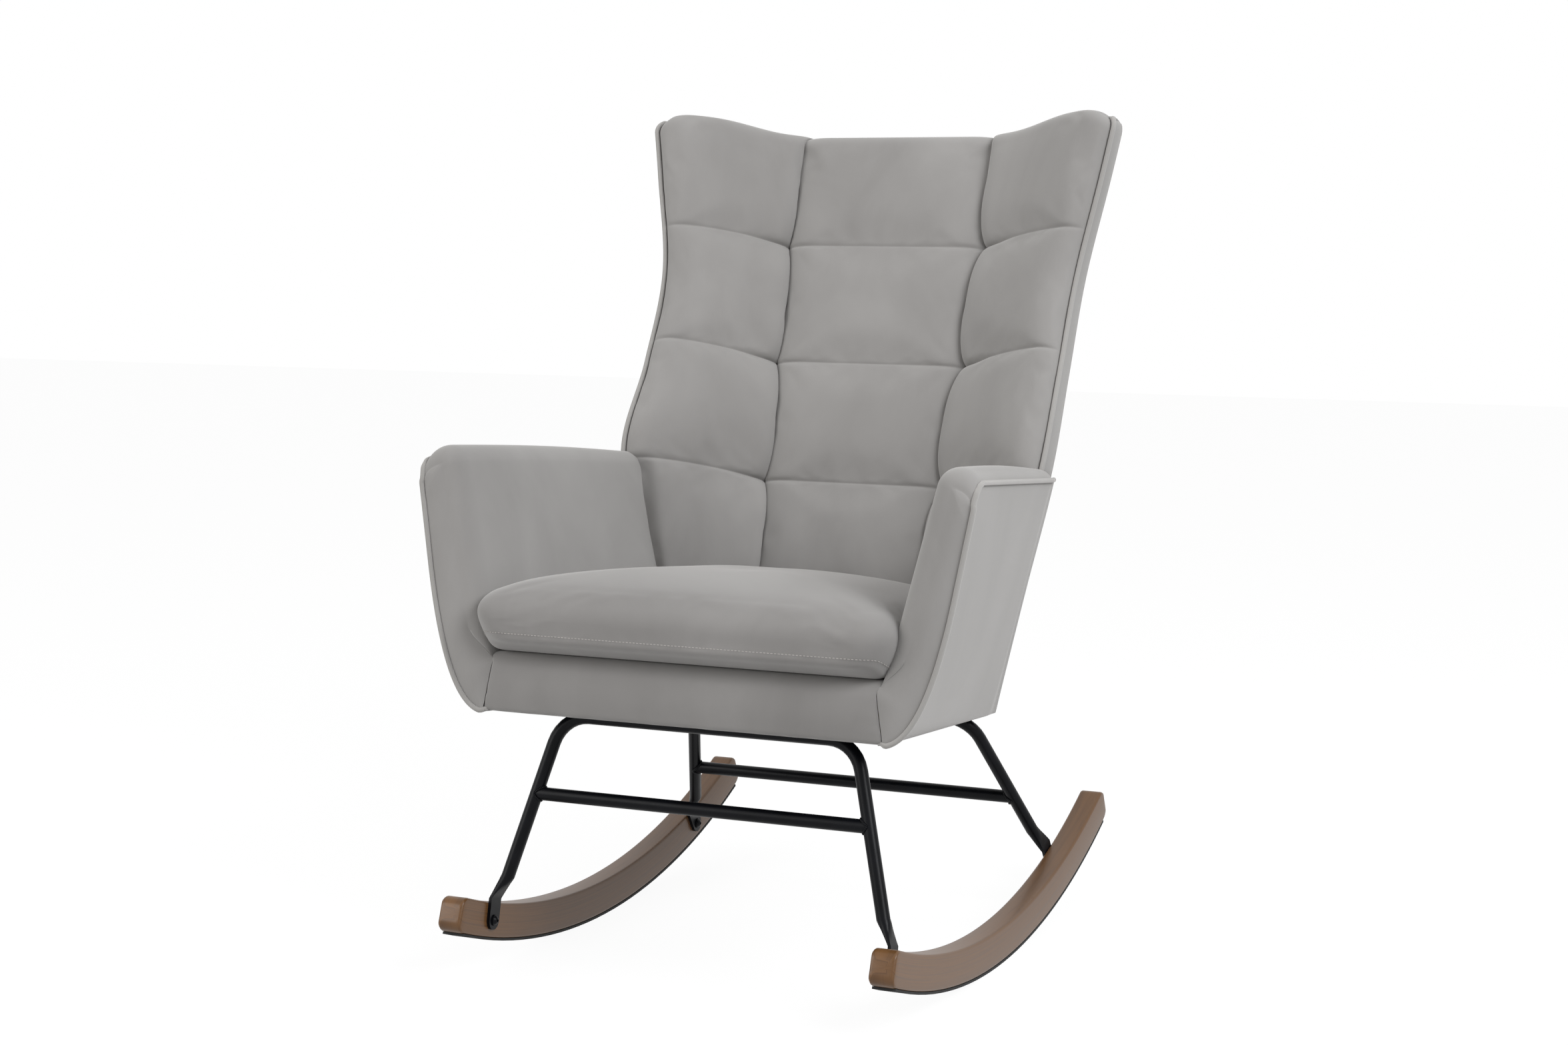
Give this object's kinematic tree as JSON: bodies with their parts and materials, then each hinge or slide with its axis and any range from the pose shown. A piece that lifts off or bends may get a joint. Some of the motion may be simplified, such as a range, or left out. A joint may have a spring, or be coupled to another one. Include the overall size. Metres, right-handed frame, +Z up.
{
  "type": "rocking chair",
  "caption": "Wingback rocking chair with a quilted velvet shell, a loose seat cushion, bent steel tube legs and curved hardwood rockers.",
  "frame": {"origin": "centre of the chair's box on the floor, with the chair leaning back as it rests when nobody sits in it", "axes": "+X towards the sitter's left, +Y towards the back, -Y towards the front, +Z up"},
  "size_m": [0.712, 0.791, 1.0261],
  "materials": {
    "stained_hardwood": "satin",
    "grip_strip": "matte",
    "coated_steel": "semi-gloss powder coat",
    "black_fastener": "satin",
    "zinc_fastener": "satin",
    "webbing_cloth": "matte",
    "frame_timber": "sawn",
    "frame_plywood": "sanded",
    "foam": "matte",
    "velvet": "short pile"
  },
  "bodies": {
    "chair": {"rocker_left": "stained_hardwood", "rocker_right": "stained_hardwood", "rocker_strip_left": "grip_strip", "rocker_strip_right": "grip_strip", "front_leg_frame": "coated_steel", "rear_leg_frame": "coated_steel", "front_stretcher": "coated_steel", "rear_stretcher": "coated_steel", "foot_bolts": "black_fastener", "foot_inserts": "zinc_fastener", "mounting_plates": "coated_steel", "mounting_bolts": "zinc_fastener", "mounting_tnuts": "zinc_fastener", "seat_front_rail": "frame_timber", "seat_rear_rail": "frame_timber", "seat_side_rail_left": "frame_timber", "seat_side_rail_right": "frame_timber", "corner_blocks": "frame_timber", "mounting_battens": "frame_timber", "seat_webbing": "webbing_cloth", "seat_deck": "velvet", "dust_cover": "webbing_cloth", "front_rail_pad": "velvet", "arm_board_left": "frame_plywood", "arm_board_right": "frame_plywood", "arm_pad_left": "velvet", "arm_pad_right": "velvet", "arm_outer_panel_left": "velvet", "arm_outer_panel_right": "velvet", "arm_piping_left": "velvet", "arm_piping_right": "velvet", "back_board": "frame_plywood", "wing_board_left": "frame_plywood", "wing_board_right": "frame_plywood", "back_webbing": "webbing_cloth", "back_pad": "velvet", "wing_pad_left": "velvet", "wing_pad_right": "velvet", "back_cover": "velvet", "wing_piping_left": "velvet", "wing_piping_right": "velvet", "back_bolts": "zinc_fastener", "back_tnuts": "zinc_fastener"},
    "cushion": {"cushion_cover": "velvet", "cushion_foam": "foam"}
  },
  "joints": [
    {"name": "cushion_lift", "type": "slide", "parent": "chair", "child": "cushion", "axis": [0, 0.1045, 0.9945], "range_m": [0, 0.26]}
  ]
}
